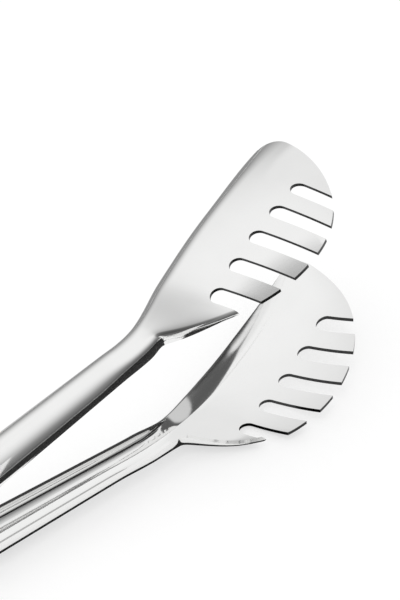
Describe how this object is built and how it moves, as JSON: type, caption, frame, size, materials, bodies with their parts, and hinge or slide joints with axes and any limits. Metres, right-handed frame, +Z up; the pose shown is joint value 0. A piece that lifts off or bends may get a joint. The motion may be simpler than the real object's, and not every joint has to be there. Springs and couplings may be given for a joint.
{
  "type": "comb serving tongs",
  "caption": "Sprung serving tongs: two pressed steel arms with canted comb blades, riveted at one end and closed by squeezing the channel handles.",
  "frame": {"origin": "middle of the bounding box in plan, at its underside, with the lower arm lying on its back", "axes": "+X from the hinge towards the comb tips, +Y towards the straight back edges of the blades, +Z up"},
  "size_m": [0.2554, 0.0572, 0.0678],
  "materials": {
    "polished_steel": "polished",
    "rivet_steel": "satin",
    "nylon": "matt"
  },
  "bodies": {
    "lower": {"lower_arm": "polished_steel", "hinge_pin": "rivet_steel", "pin_cap": "rivet_steel", "washer_left": "nylon", "washer_right": "nylon", "spring_bush": "rivet_steel", "torsion_spring": "rivet_steel"},
    "upper": {"upper_arm": "polished_steel"}
  },
  "joints": [
    {"name": "squeeze", "type": "hinge", "parent": "lower", "child": "upper", "pos_m": [-0.10369, -0.00744, 0.0093], "axis": [0, 1, 0], "range_deg": [0, 13], "stiffness_Nm_per_rad": 0.7, "springref_deg": -20.05, "deforming": ["torsion_spring"]}
  ]
}
